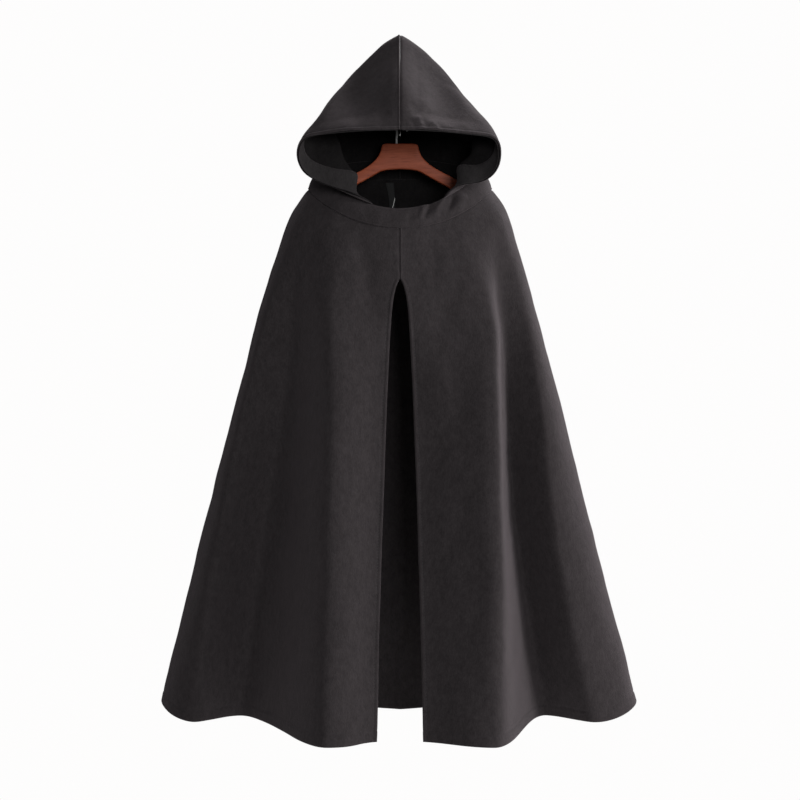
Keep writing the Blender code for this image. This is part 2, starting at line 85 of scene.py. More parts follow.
# Columns: share, edge_y, ridge_x, ridge_y, hollow_x, hollow_y, lobe_x, lobe_y, side_x, side_y
FRONT_LEFT = (
    (0.04, -0.104, 0.069, -0.098, 0.131, -0.067, 0.150, -0.043, 0.1580, 0.000),
    (0.10, -0.109, 0.084, -0.106, 0.144, -0.064, 0.167, -0.046, 0.1780, 0.003),
    (0.30, -0.118, 0.092, -0.134, 0.168, -0.044, 0.208, -0.052, 0.2235, 0.014),
    (0.60, -0.140, 0.095, -0.169, 0.200, -0.014, 0.258, -0.062, 0.2850, 0.028),
    (1.00, -0.196, 0.098, -0.236, 0.240, -0.003, 0.305, -0.056, 0.3610, 0.035),
)
FRONT_RIGHT = (
    (0.04, -0.104, 0.076, -0.096, 0.132, -0.064, 0.149, -0.042, 0.1570, 0.000),
    (0.10, -0.108, 0.104, -0.101, 0.143, -0.058, 0.162, -0.040, 0.1740, 0.003),
    (0.30, -0.114, 0.131, -0.133, 0.157, -0.040, 0.195, -0.054, 0.2170, 0.014),
    (0.60, -0.138, 0.134, -0.173, 0.171, -0.014, 0.225, -0.064, 0.2780, 0.028),
    (1.00, -0.196, 0.126, -0.236, 0.220, 0.000, 0.286, -0.055, 0.3585, 0.035),
)
# Sections of the back. The columns give the depth of its shallow flutes.
BACK_LINES = (0.0, 0.20, 0.46, 0.73, 1.0)
BACK_SHARES = (1.0, 0.84, 0.56, 0.27, 0.0)
# Columns: share, outer_y, hollow_y, inner_y, centre_y
BACK = (
    (0.04, 0.028, 0.037, 0.041, 0.040),
    (0.10, 0.038, 0.042, 0.048, 0.045),
    (0.30, 0.052, 0.045, 0.060, 0.049),
    (0.60, 0.064, 0.045, 0.069, 0.049),
    (1.00, 0.074, 0.043, 0.078, 0.047),
)

# The seam over the middle of the hood, from the forehead over the peak to the back of the neck.
# Columns: y, z
HOOD_SEAM = (
    (-0.1300, -0.0507),
    (-0.0620, 0.0320),
    (0.0060, 0.0995),
    (0.0290, 0.1164),
    (0.0440, 0.0980),
    (0.0540, 0.0300),
    (0.0460, -0.0300),
)
HOOD_NAPE_BOW = 0.003
# The line up each side of the hood to its peak, between the neck band and the middle seam.
# Columns: x, y, z
HOOD_CREST = (
    (0.1195, -0.006, -0.0560),
    (0.0960, -0.004, -0.0190),
    (0.0745, 0.006, 0.0300),
    (0.0505, 0.020, 0.0760),
    (0.0185, 0.027, 0.1060),
)
HOOD_CREST_PLACE = 0.60  # share of the way from the face edge to the nape

# The hood's face edge, between the neck band and the forehead.
# Columns: x, y, z
HOOD_EDGE_LEFT = (
    (0.0790, -0.0895, -0.1345),
    (0.1180, -0.0890, -0.1205),
    (0.1401, -0.0930, -0.1053),
    (0.1480, -0.1000, -0.0847),
    (0.1415, -0.1080, -0.0644),
    (0.1072, -0.1180, -0.0545),
    (0.0570, -0.1260, -0.0515),
)
HOOD_EDGE_RIGHT = (
    (0.0840, -0.0880, -0.1275),
    (0.1200, -0.0890, -0.1195),
    (0.1370, -0.0930, -0.1070),
    (0.1440, -0.1000, -0.0870),
    (0.1390, -0.1080, -0.0640),
    (0.1100, -0.1180, -0.0560),
    (0.0620, -0.1260, -0.0525),
)
HOOD_EDGE_START = {"left": 18.0, "right": 31.5}  # degrees round the band from its front
# Where the hood's cloth swells or folds: back and up are shares of the half hood, reach is how far
# from there it is felt, and x (outwards), y and z are the move at its middle. The first rows shape
# both halves alike: they slope back from the middle seam as a roof does.
# Columns: back, back_reach, up, up_reach, x, y, z
HOOD_FORM = (
    (0.26, 0.22, 0.78, 0.15, -0.002, 0.022, 0.000),
    (0.26, 0.13, 0.54, 0.10, -0.008, 0.000, 0.000),
    (0.50, 0.12, 0.65, 0.06, 0.004, 0.000, 0.000),
)
HOOD_FOLDS_LEFT = (
    (0.30, 0.24, 0.20, 0.15, -0.046, -0.004, 0.012),
    (0.10, 0.12, 0.10, 0.10, -0.014, 0.004, 0.012),
)
HOOD_FOLDS_RIGHT = (
    (0.32, 0.24, 0.20, 0.15, -0.036, -0.002, 0.010),
    (0.10, 0.12, 0.10, 0.10, -0.012, 0.006, 0.012),
)
# Shares of the half hood over which these swellings and folds fade towards its borders.
HOOD_EASE_EDGE = 0.10
HOOD_EASE_BAND = 0.12
HOOD_EASE_SEAM = 0.10
HOOD_EASE_NAPE = 0.3

FACING = 0.0012  # thickness of the strip inside the hood's face edge
FACING_GAP = 0.0007
FACING_ROWS_SHORT = 3  # rows of the hood's fine grid that it leaves free at each end

LABEL_SIZE = (0.013, 0.0006, 0.042)  # width, thickness, length
LABEL_X = -0.0167
LABEL_TOP = 0.004  # below the neck seam

HANGER_THICK = 0.012
HANGER_NOSE = (0.1488, -0.1440)  # the end of each arm
# Columns: x, upper_z, lower_z
HANGER = (
    (0.0000, -0.0520, -0.0849),
    (0.0265, -0.0520, -0.0920),
    (0.0310, -0.0680, -0.0945),
    (0.0405, -0.0800, -0.1000),
    (0.0596, -0.0930, -0.1105),
    (0.0900, -0.1082, -0.1258),
    (0.1200, -0.1235, -0.1400),
    (0.1430, -0.1365, -0.1500),
)
HOOK_WIRE = 0.0018  # radius
HOOK_INSIDE = 0.0165  # radius of the bend's inside
HOOK_STEM_X = -0.0050
HOOK_STEM_TOP = -0.030
HOOK_STEM_STEPS = 4
HOOK_SUNK = 0.012  # depth of the stem's bore in the hub
HOOK_BEND_FROM = -75  # degrees from straight up, where the bend leaves the stem
HOOK_BEND_TO = 150
HOOK_BEND_STEPS = 16
HOOK_POINTS = 40

# ---- What the looks add
# Steps of the fine shells.
STEPS_SQUEEZE = 0.6  # how much closer together they are at the borders
FRONT_STEPS = 130
BACK_STEPS = 190
ROWS_ABOVE_SLIT = 34
ROWS_ABOVE_CURVE = 1.3  # above 1, they are closer together at the neck
ROWS_BELOW_SLIT = 190
BAND_STEPS = 22
BAND_AROUND = 420
HOOD_BACK_STEPS = 110
HOOD_UP_STEPS = 130
FACING_WIDTH = 0.034
LABEL_STEPS = (20, 60)  # across, down

HANGER_STEPS = 90
HANGER_HUB_STEPS = 6  # along half of the hub's top
HANGER_ROUND_STEPS = 6
HANGER_ROUND = 0.0018  # rounding of the wood's edges
HANGER_SMOOTHING = 3  # rounds the corners of the outline

# Edges of the cloth.
CUT_EDGES = ("cut",) * 4
EDGE_ROUND = 0.0016  # rounding of an edge
EDGE_THIN = 0.30  # share of the thickness left at the very edge
SEAM_ROUND = 0.0026  # the cloth rolls into a seam over this width
SEAM_DIP = 0.0011
LAP_WIDTH = 0.0022  # the raised cord of cloth along a lapped seam
LAP_LIFT = 0.0008
NECK_SHADE_TO = -0.215  # foot of the painted shade inside the back's neck, where the inner side takes the dark inside wool
SEWN_SHORT = 2  # the sewn seam ends this many rows above the head of the slit
STITCHED_FROM = 2  # and the slit's stitches start this many rows below it
SEAM_END_ROWS = 4  # rows over which the seam opens into the slit's two turned edges
TURNED = 0.0050  # width of the roll along a turned and stitched edge
TURNED_ROUND = 2.2  # the roll's width over the reach of its curve
TURNED_LIFT = 0.0007
STITCH_GROOVE = 1.15  # where the stitches dip the cloth, as a share of the roll's width
STITCH_GROOVE_ROUND = 4
STITCH_DIP = 0.0004
HEM_PRESS = 0.016  # the line of the hem's upper edge, above the hem
HEM_PRESS_ROUND = 0.004
HEM_PRESS_DIP = 0.0005
HEM_PRESS_GROOVE = 0.0015
HEM_LIFT = 0.6  # how thick the hem is turned up, as a share of TURNED_LIFT
STITCH_FROM_EDGE = 0.0058  # the row of stitches along a turned edge
STITCH_PITCH = 0.0042
STITCH_LENGTH = 0.0032
STITCH_SIDES = 6
STITCH_RINGS = 5
THREAD = 0.00035  # radius
# A stitch's middle line, in radii of its thread: how far its top stands above its ends, and how
# deep these sink. Then the thread's thickness at its ends and what the top has more, in shares.
STITCH_ARCH, STITCH_SUNK = 1.6, 0.9
STITCH_END, STITCH_SWELL = 0.55, 0.45
SEAM_LAP = 0.0004  # sewn pieces reach this far past their seam, so that no light shows
NECK_EASE = 0.007  # over this width the walls turn to the direction they share at the neck

# Creases and swellings, placed as one sees them from the front. bow is how far the line bows
# to its left, height is positive for a ridge.
# Columns: x, z at one end, x, z at the other, bow, width, height
FRONT_CREASES = (
    # The long soft folds of the two fronts.
    (0.020, -0.270, 0.044, -0.930, 0.000, 0.0260, -0.0050),
    (0.112, -0.230, 0.128, -0.960, 0.004, 0.0200, 0.0042),
    (-0.084, -0.230, -0.088, -0.960, 0.000, 0.0220, 0.0036),
    (-0.030, -0.270, -0.042, -0.930, 0.000, 0.0200, -0.0042),
    (-0.150, -0.220, -0.176, -0.940, 0.000, 0.0200, -0.0032),
    (-0.062, -0.190, -0.040, -0.330, 0.004, 0.0140, -0.0022),
    (0.040, -0.195, 0.066, -0.360, 0.004, 0.0150, -0.0020),
    (0.072, -0.200, 0.052, -0.290, 0.000, 0.0110, 0.0016),
    # Puckers of the neck band, right of its middle.
    (0.080, -0.132, 0.066, -0.164, 0.002, 0.0044, -0.0042),
    (0.065, -0.134, 0.047, -0.173, 0.001, 0.0048, 0.0036),
    (0.049, -0.144, 0.034, -0.176, -0.001, 0.0038, -0.0034),
    (0.095, -0.133, 0.080, -0.166, 0.000, 0.0070, 0.0024),
    (0.036, -0.150, 0.026, -0.179, 0.001, 0.0034, 0.0019),
    (0.058, -0.138, 0.052, -0.156, 0.001, 0.0026, -0.0012),
    (0.018, -0.160, 0.012, -0.182, 0.000, 0.0040, -0.0010),
    # Puckers of the hood above the face edge, and the soft dents above them.
    (0.014, -0.034, 0.024, -0.053, 0.001, 0.0040, -0.0010),
    (0.022, -0.028, 0.033, -0.050, 0.002, 0.0036, 0.0010),
    (0.029, -0.033, 0.043, -0.051, -0.001, 0.0044, -0.0012),
    (0.042, -0.035, 0.055, -0.052, 0.001, 0.0036, 0.0009),
    (0.053, -0.040, 0.066, -0.054, -0.001, 0.0040, -0.0008),
    (0.070, -0.042, 0.080, -0.055, 0.001, 0.0036, 0.0006),
    (0.086, -0.043, 0.094, -0.056, 0.001, 0.0036, -0.0006),
    (0.012, -0.002, 0.026, -0.033, 0.002, 0.0080, -0.0012),
    (0.030, 0.006, 0.046, -0.026, 0.002, 0.0090, 0.0009),
    (-0.012, -0.020, -0.034, -0.050, 0.001, 0.0060, -0.0008),
)
# As above, seen from behind with +X still to the right.
BACK_CREASES = (
    (0.060, -0.050, 0.075, -0.125, 0.004, 0.0120, -0.0020),
    (-0.055, -0.045, -0.085, -0.120, -0.004, 0.0130, 0.0018),
    (0.020, -0.200, 0.030, -0.960, 0.006, 0.0240, 0.0035),
    (-0.090, -0.220, -0.120, -0.960, -0.004, 0.0260, -0.0036),
    (0.140, -0.250, 0.190, -0.960, 0.004, 0.0220, -0.0032),
    (-0.190, -0.300, -0.250, -0.960, 0.000, 0.0200, 0.0030),
    (0.085, -0.170, 0.110, -0.600, 0.003, 0.0180, 0.0022),
)
CREASE_FADE = 0.30  # share of a crease's length over which each end fades
CREASE_TURN = 0.25  # how far a wall has to face the front or back to show its creases whole

# The pale slanting line on the label: where it would meet the label's top, from the label's left
# edge, how far it runs aside for each metre down, and how far down it starts.
PALE_LINE_X = 0.0175
PALE_LINE_SLANT = 0.32
PALE_LINE_FROM = 0.021
PALE_LINE_EDGE = (0.0003, 0.0006)  # it fades out between these distances from its middle

# Unevenness of hanging cloth: the length of its waves and their height, metres.
# Columns: wave along x, wave along z, height, phase
WAVES = (
    (0.110, 0.310, 0.0007, 0.3),
    (0.061, 0.170, 0.0004, 1.9),
    (0.033, 0.088, 0.00018, 4.1),
)
WAVE_LEAN = 1.7  # how far each wave along x sways with the one along z, radians

# Colours of the finishes, linear. Wool: dark and light fibres, then sheen, specular level and the
# strength of its relief.
COATING_WOOL = (0.0310, 0.0268, 0.0284), (0.0460, 0.0396, 0.0420), 0.22, 0.18, 1.0
FACING_WOOL = (0.022, 0.0205, 0.021), (0.030, 0.0275, 0.0285), 0.08, 0.12, 0.6
# The inside wool is painted shade: far darker than the coating, it stands in for the shade inside
# the hood, the neck band and the back's neck.
INSIDE_SHADE_WOOL = (0.0095, 0.0088, 0.0091), (0.0135, 0.0125, 0.0129), 0.0, 0.03, 0.6
SHEEN_TINT = (0.84, 0.73, 0.78, 1)
THREAD_COLOURS = (0.030, 0.028, 0.029, 1), (0.052, 0.049, 0.051, 1)
SATIN_COLOURS = (0.006, 0.006, 0.0065, 1), (0.009, 0.009, 0.0095, 1)
PALE_LINE_COLOUR = (0.62, 0.62, 0.61, 1)
WOOD_COLOURS = (0.330, 0.068, 0.028, 1), (0.520, 0.125, 0.056, 1)
WOOD_PORES = (0.240, 0.046, 0.019, 1)
STEEL_COLOURS = (0.86, 0.86, 0.85, 1), (0.95, 0.95, 0.94, 1)
FLOOR_COLOUR = (0.80, 0.79, 0.78, 1)

# ---- Camera, light and surroundings
CAMERA = (0.0, -2.5, -0.436)
LENS = 75  # millimetres
SENSOR = 36
FLOOR_Z = -1.5
FLOOR_RADIUS = 1.7
LIGHT_AIM = (0.0, 0.0, -0.4)
LIGHT_SIZE = 1.0
# Columns: name, place, watts, colour
LIGHTS = (
    ("front", (0.76, -2.85, 0.12), 29, (1.0, 1.0, 1.0)),
    ("key", (2.72, -1.15, 0.10), 45, (1.0, 0.985, 0.975)),
    ("behind", (1.40, 1.50, 1.75), 50, (1.0, 0.98, 0.99)),
)
AMBIENT_FRONT = 0.08  # the even light is weak from in front and stronger from behind
AMBIENT_BEHIND = 0.16
AMBIENT_TURN = (0.1, 0.8)  # it changes between these two shares of the way round to behind
BACKDROP = (0.985, 0.98, 0.978)


# ---- Curves and surfaces, as in the solids
def natural_spline(knots, values, at):
    """The natural cubic spline through values, one row for each knot, read at each place in at."""
    knots = np.asarray(knots, float)
    values = np.asarray(values, float)
    step = np.diff(knots)
    count = len(knots)
    matrix = np.eye(count)
    right = np.zeros_like(values)
    for i in range(1, count - 1):
        matrix[i, i - 1:i + 2] = step[i - 1], 2 * (step[i - 1] + step[i]), step[i]
        after = (values[i + 1] - values[i]) / step[i]
        right[i] = 6 * (after - (values[i] - values[i - 1]) / step[i - 1])
    bend = np.linalg.solve(matrix, right.reshape(count, -1)).reshape(values.shape)
    at = np.asarray(at, float)
    i = np.clip(np.searchsorted(knots, at, side="right") - 1, 0, count - 2)
    width = step[i]
    past = at - knots[i]
    tail = [1] * (values.ndim - 1)
    width, past = width.reshape(-1, *tail), past.reshape(-1, *tail)
    slope = (values[i + 1] - values[i]) / width - width * (2 * bend[i] + bend[i + 1]) / 6
    curve = bend[i] * past**2 / 2 + (bend[i + 1] - bend[i]) * past**3 / (6 * width)
    return values[i] + slope * past + curve


def hermite(knots, values, slopes, at):
    """The cubic curve with these values and slopes at its knots."""
    i = np.clip(np.searchsorted(knots, at, side="right") - 1, 0, len(knots) - 2)
    width = knots[i + 1] - knots[i]
    s = (at - knots[i]) / width
    return ((1 + 2 * s) * (1 - s)**2 * values[i] + s * (1 - s)**2 * width * slopes[i]
            + s**2 * (3 - 2 * s) * values[i + 1] + s**2 * (s - 1) * width * slopes[i + 1])


def hanging_line(knots, x, y, at, round_start=False, round_end=False):
    """A section of hanging cloth through its ridges and hollows. A rounded end is square to X."""
    knots, x, y = (np.asarray(a, float) for a in (knots, x, y))
    dx, dy = np.diff(x) / np.diff(knots), np.diff(y) / np.diff(knots)
    slope_x, slope_y = np.empty_like(x), np.empty_like(y)
    slope_x[1:-1] = 2 * dx[:-1] * dx[1:] / (dx[:-1] + dx[1:])
    turns = dy[:-1] * dy[1:] <= 0
    slope_y[1:-1] = np.where(turns, 0, 2 * dy[:-1] * dy[1:] / np.where(turns, 1, dy[:-1] + dy[1:]))
    slope_x[0], slope_y[0] = (0, ROUND_END * dy[0]) if round_start else (dx[0], dy[0])
    slope_x[-1], slope_y[-1] = (0, ROUND_END * dy[-1]) if round_end else (dx[-1], dy[-1])
    return hermite(knots, x, slope_x, at), hermite(knots, y, slope_y, at)


def smooth_step(x):
    x = np.clip(x, 0, 1)
    return x * x * (3 - 2 * x)


def neck_ring(degrees, share=1.0):
    """Points of the neck seam, by degrees round from its front, +X first, shrunk to a share."""
    a = np.radians(degrees)
    front = np.maximum(np.cos(a), 0)
    back = np.maximum(-np.cos(a), 0)
    x = share * NECK_HALF_WIDTH * np.sin(a)
    y = NECK_CENTRE_Y + share * (NECK_BACK_DEPTH * back - NECK_FRONT_DEPTH * front)
    z = NECK_SIDE_Z - NECK_FRONT_DROP * front**NECK_FRONT_CURVE
    return np.stack([x, y, z + NECK_BACK_RISE * back**NECK_FRONT_CURVE], axis=-1)


def hem_height(x):
    return HEM_Z + HEM_SIDE_RISE * np.maximum((np.abs(x) - HEM_RISE_FROM) / HEM_RISE_SPAN, 0)**2


def slit_opening(share):
    """How far each front edge stands from the centre line."""
    s = np.clip((share - SLIT_TOP) / (1 - SLIT_TOP), 0, 1)
    return SLIT_MOUTH * (1 - np.exp(-s / SLIT_MOUTH_SPAN)) + SLIT_SPREAD * s**SLIT_SPREAD_CURVE


def lofted(sections, shares, ring, down):
    """Points at [down, across] from sections (n, across, 2) in X and Y, with the ring on top."""
    knots, sections = [0.0, *shares], np.stack([ring[:, :2], *sections])
    plan = natural_spline(knots, sections, down)
    hem = hem_height(natural_spline(knots, sections, [1.0])[..., 0])
    z = ring[None, :, 2] * (1 - down[:, None]) + hem * down[:, None]
    return np.concatenate([plan, z[..., None]], axis=-1)


def front_surface(side, across, down):
    """The front's middle surface: across runs from the centre to the side seam, down to the hem."""
    table, sign = (FRONT_LEFT, -1) if side == "left" else (FRONT_RIGHT, 1)
    sections = []
    for _, *line in table:
        x, y = hanging_line(FRONT_LINES, (0, *line[1::2]), line[0::2], across, round_end=True)
        sections.append(np.stack([x, y], axis=-1))
    points = lofted(sections, [row[0] for row in table], neck_ring(90 * across), down)
    points[..., 0] += slit_opening(down)[:, None] * np.exp(-(across / SLIT_REACH)**2)[None]
    points[..., 0] *= sign
    return points


def back_surface(across, down):
    """The back's middle surface: across runs from -1 at the left side seam to 1 at the right."""
    place = 1 - np.abs(across)
    sections = []
    for left, right, row in zip(FRONT_LEFT, FRONT_RIGHT, BACK):
        side_y = left[-1]
        x, y = hanging_line(BACK_LINES, BACK_SHARES, (side_y, *row[1:]), place, round_start=True)
        half = (left[-2] + right[-2]) / 2 + (right[-2] - left[-2]) / 2 * x * np.sign(across)
        sections.append(np.stack([x * half * np.sign(across), y], axis=-1))
    return lofted(sections, [row[0] for row in BACK], neck_ring(180 - 90 * across), down)


def band_surface(degrees, up):
    """The neck band, from the neck seam (up 0) to its top edge (up 1)."""
    low, high = neck_ring(degrees), neck_ring(degrees, BAND_LEAN)
    high[..., 2] += BAND_HEIGHT
    swell = BAND_SWELL * 4 * up * (1 - up)
    a = np.radians(degrees)
    outwards = np.stack([np.sin(a), -np.cos(a), np.zeros_like(a)], axis=-1)
    points = low[None] + (high - low)[None] * up[:, None, None]
    return points + outwards[None] * swell[:, None, None]


def lengths(points):
    """How far each point is along the line through them all."""
    return np.concatenate([[0], np.cumsum(np.linalg.norm(np.diff(points, axis=0), axis=1))])


def along(points, share):
    """Places along a smooth curve through points, by share of its length."""
    points = np.asarray(points, float)
    length = lengths(points)
    return natural_spline(length / length[-1], points, share)


def between(at, knots, values):
    """values, one row for each knot, read straight between the knots at each place in at."""
    return np.stack([np.interp(at, knots, column) for column in values.T], axis=-1)


def bowed(start, end, bow, direction, share):
    """A line from start to end that bows out by bow at its middle."""
    start, end, direction = (np.asarray(p, float) for p in (start, end, direction))
    share = np.asarray(share, float)[:, None]
    return start + (end - start) * share + direction * bow * 4 * share * (1 - share)


def hood_surface(side, back, up):
    """Half the hood at [up, back]: back runs from the face edge to the nape, up from the neck band
    to the middle seam. It is lofted through the face edge, the crest and the nape, then eased onto
    the band and the seam, and the folds are laid in."""
    edge, folds, sign = ((HOOD_EDGE_LEFT, HOOD_FOLDS_LEFT, -1) if side == "left"
                         else (HOOD_EDGE_RIGHT, HOOD_FOLDS_RIGHT, 1))
    start = HOOD_EDGE_START[side]

    def on_band(place):
        return band_surface(start + (180 - start) * np.asarray(place, float), np.array([1.0]))[0]

    def on_seam(place):
        return along([(0.0, y, z) for y, z in HOOD_SEAM], np.asarray(place, float))

    knots = [0.0, HOOD_CREST_PLACE, 1.0]
    foot, top = on_band(knots), on_seam(knots)
    face = along([foot[0], *edge, top[0]], up)
    crest = along([foot[1], *HOOD_CREST, top[1]], up)
    nape = bowed(foot[2], top[2], HOOD_NAPE_BOW, (0, 1, 0), up)
    lofted_hood = natural_spline(knots, np.stack([face, crest, nape]), back).transpose(1, 0, 2)
    b, u = back[None, :, None], up[:, None, None]
    lift = natural_spline(knots, foot, back), natural_spline(knots, top, back)
    points = lofted_hood + (1 - u) * (on_band(back) - lift[0])[None]
    points = points + u * (on_seam(back) - lift[1])[None]
    for place, reach, height, height_reach, x, y, z in (*HOOD_FORM, *folds):
        felt = np.exp(-((b - place) / reach)**2 - ((u - height) / height_reach)**2)
        felt = felt * smooth_step(b / HOOD_EASE_EDGE) * smooth_step(u / HOOD_EASE_BAND)
        felt = felt * smooth_step((1 - u) / HOOD_EASE_SEAM)
        points = points + felt * smooth_step((1 - b) / HOOD_EASE_NAPE) * np.array([x, y, z])
    points[..., 0] *= sign
    return points


def unit(vectors):
    return vectors / np.maximum(np.linalg.norm(vectors, axis=-1, keepdims=True), 1e-12)


def outward_normals(points):
    """Unit normals at points [i, j], on the side that faces away from the garment's middle line."""
    a, b, c, d = points[:-1, :-1], points[:-1, 1:], points[1:, 1:], points[1:, :-1]
    one, other = np.cross(b - a, c - a), np.cross(c - a, d - a)
    normals = np.zeros_like(points)
    normals[:-1, :-1] += one + other
    normals[:-1, 1:] += one
    normals[1:, 1:] += one + other
    normals[1:, :-1] += other
    away = (points - np.array([0.0, MIDDLE_Y, 0.0])) * np.array([1, 1, 0])
    return unit(normals) * np.sign(np.sum(normals * away))


def neck_outward(degrees):
    """The direction in which all walls at the neck band are thick, round from its front."""
    a = np.radians(degrees)
    depth = np.where(np.cos(a) > 0, NECK_FRONT_DEPTH, NECK_BACK_DEPTH)
    lean = NECK_LEAN + NECK_SIDE_LEAN * np.sin(a)**2
    flat = np.stack([np.sin(a) / NECK_HALF_WIDTH, -np.cos(a) / depth, np.zeros_like(a)], axis=-1)
    return unit(unit(flat) + lean[:, None] * np.array([0, 0, 1]))


# ---- Fine grids
def crowded(count):
    """count + 1 places from 0 to 1, closer together at both ends."""
    s = np.linspace(0, 1, count + 1)
    return s - STEPS_SQUEEZE * np.sin(2 * np.pi * s) / (2 * np.pi)


def lengths_along(points, axis):
    """Distances along the grid's lines from its first points, in metres."""
    step = np.linalg.norm(np.diff(points, axis=axis), axis=-1)
    first = np.zeros_like(np.take(step, [0], axis=axis))
    return np.concatenate([first, np.cumsum(step, axis=axis)], axis=axis)


def edge_distances(points):
    """For each point, its distance to the first row, last row, first column and last column."""
    down, across = lengths_along(points, 0), lengths_along(points, 1)
    return down, down[-1:] - down, across, across[:, -1:] - across


def rounded(share):
    """A quarter circle from EDGE_THIN up to 1."""
    share = np.clip(share, 0, 1)
    return EDGE_THIN + (1 - EDGE_THIN) * np.sqrt(1 - (1 - share)**2)


def bell(x):
    return np.exp(-x * x)


def creased(points, offset):
    """points moved along offset by the waves and the small creases."""
    x, z = points[..., 0], points[..., 2]
    move = np.zeros_like(x)
    for wave_x, wave_z, height, phase in WAVES:
        tilt = np.sin(2 * np.pi * z / wave_z + phase)
        move += height * np.sin(2 * np.pi * x / wave_x + WAVE_LEAN * tilt + 2 * phase)
    for rows, facing in ((FRONT_CREASES, -1), (BACK_CREASES, 1)):
        seen = smooth_step(facing * offset[..., 1] / CREASE_TURN)
        for x0, z0, x1, z1, bow, width, height in rows:
            length = math.hypot(x1 - x0, z1 - z0)
            along_x, along_z = (x1 - x0) / length, (z1 - z0) / length
            share = ((x - x0) * along_x + (z - z0) * along_z) / length
            beside = (z - z0) * along_x - (x - x0) * along_z - bow * 4 * share * (1 - share)
            fade = smooth_step(share / CREASE_FADE) * smooth_step((1 - share) / CREASE_FADE)
            move += height * bell(beside / width) * fade * seen
    return points + offset * move[..., None]


# ---- Pieces
def add_object(name, data, finish):
    made = bpy.data.objects.new(name, data)
    bpy.context.scene.collection.objects.link(made)
    made.data.materials.append(finish)
    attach(made, "root")
    return made


def smooth_mesh(name, points, faces):
    mesh = bpy.data.meshes.new(name)
    mesh.from_pydata(points, [], faces)
    mesh.validate()
    mesh.shade_smooth()
    return mesh


def add_grid_uv(mesh, coordinates):
    """A UV map in metres, so that the weave runs with the cloth."""
    layer = mesh.uv_layers.new(name="cloth")
    loops = np.empty(len(mesh.loops), int)
    mesh.loops.foreach_get("vertex_index", loops)
    layer.data.foreach_set("uv", coordinates[loops].astype(np.float32).ravel())


def shell(name, middle, offset, finish, edges, thickness=CLOTH, inside=None,
          inside_rows=None, seam_rows=0, lap=0.0):
    """A thin closed shell round middle points [i, j]. edges says how its first row, last row, first
    column and last column are finished: cut (rounded), seam (rolls in), lapped (a cord over the
    seam), turned (rolled and stitched) or hem (turned up and pressed). inside is the finish of its
    inner side where that differs, or of that side's first inside_rows rows. A turned edge is sewn
    to its neighbour over the first seam_rows rows, where it rises by lap."""
    share = np.ones(middle.shape[:2])
    lift = np.zeros(middle.shape[:2])
    distances = edge_distances(middle)
    for away, kind in zip(distances, edges):
        share = np.minimum(share, rounded(away / EDGE_ROUND))
        if kind == "seam":
            lift -= SEAM_DIP * bell(away / SEAM_ROUND)
        if kind == "lapped":
            lift += LAP_LIFT * bell((away - LAP_WIDTH / 2) / (LAP_WIDTH / 2))
        if kind == "turned":
            row = np.arange(len(away))[:, None]
            free = smooth_step((row - seam_rows) / SEAM_END_ROWS) if seam_rows else 1.0
            lift += free * TURNED_LIFT * bell((away - TURNED / 2) / (TURNED / TURNED_ROUND))
            groove = (away - TURNED * STITCH_GROOVE) / (TURNED / STITCH_GROOVE_ROUND)
            lift -= free * STITCH_DIP * bell(groove)
            lift += (1 - free) * lap * bell((away - LAP_WIDTH / 2) / (LAP_WIDTH / 2))
        if kind == "hem":
            lift += TURNED_LIFT * HEM_LIFT * smooth_step((HEM_PRESS - away) / HEM_PRESS_ROUND)
            lift -= HEM_PRESS_DIP * bell((away - HEM_PRESS) / HEM_PRESS_GROOVE)
    half = thickness / 2 * share[..., None]
    outer, inner = middle + offset * (half + lift[..., None]), middle - offset * half
    rows, columns = share.shape
    count = rows * columns
    index = np.arange(count).reshape(rows, columns)
    a, b, c, d = index[:-1, :-1], index[:-1, 1:], index[1:, 1:], index[1:, :-1]
    sheet = np.stack([a, b, c, d], axis=-1).reshape(-1, 4)
    border = np.concatenate([index[0, :-1], index[:-1, -1], index[-1, :0:-1], index[:0:-1, 0]])
    after = np.roll(border, -1)
    rim = np.stack([after, border, border + count, after + count], axis=-1)
    faces = np.concatenate([sheet, sheet[:, ::-1] + count, rim])
    diagonal, other = middle[1:, 1:] - middle[:-1, :-1], middle[1:, :-1] - middle[:-1, 1:]
    if np.sum(np.cross(diagonal, other) * offset[:-1, :-1]) < 0:
        faces = faces[:, ::-1]
    points = np.concatenate([outer.reshape(-1, 3), inner.reshape(-1, 3)])
    mesh = smooth_mesh(name, points.tolist(), faces.tolist())
    flat = np.stack([distances[2], distances[0]], axis=-1).reshape(-1, 2)
    add_grid_uv(mesh, np.concatenate([flat, flat]))
    made = add_object(name, mesh, finish)
    if inside is not None:
        mesh.materials.append(inside)
        side = np.zeros(len(faces), np.int32)
        inside_count = len(sheet) if inside_rows is None else inside_rows * (columns - 1)
        side[len(sheet):len(sheet) + inside_count] = 1
        mesh.polygons.foreach_set("material_index", side)
    return made


def add_sheet(node, points, offset, finish, edges, rests_on, slot="coating_cloth", **more):
    """The shell that takes the place of a CAD node, which it hides."""
    name = node + ("_satin" if slot == "label_satin" else "_cloth")
    made = shell(name, points, offset, finish, edges, **more)
    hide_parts(node)


def neck_eased(offset, distance, degrees):
    """offset turned to the direction that the walls share at the neck, close to it."""
    share = bell(distance / NECK_EASE)[..., None]
    return unit(offset * (1 - share) + neck_outward(degrees)[None] * share)


def along_start(points, offset):
    """The line on the cloth's outside where the turned edge at the grid's start is stitched."""
    away = lengths_along(points, 1)
    outside = points + offset * (CLOTH / 2 - STITCH_DIP)
    line, up = [], []
    for row_away, row_outside, row_offset in zip(away, outside, offset):
        line.append(between(STITCH_FROM_EDGE, row_away, row_outside))
        up.append(between(STITCH_FROM_EDGE, row_away, row_offset))
    return np.array(line), unit(np.array(up))


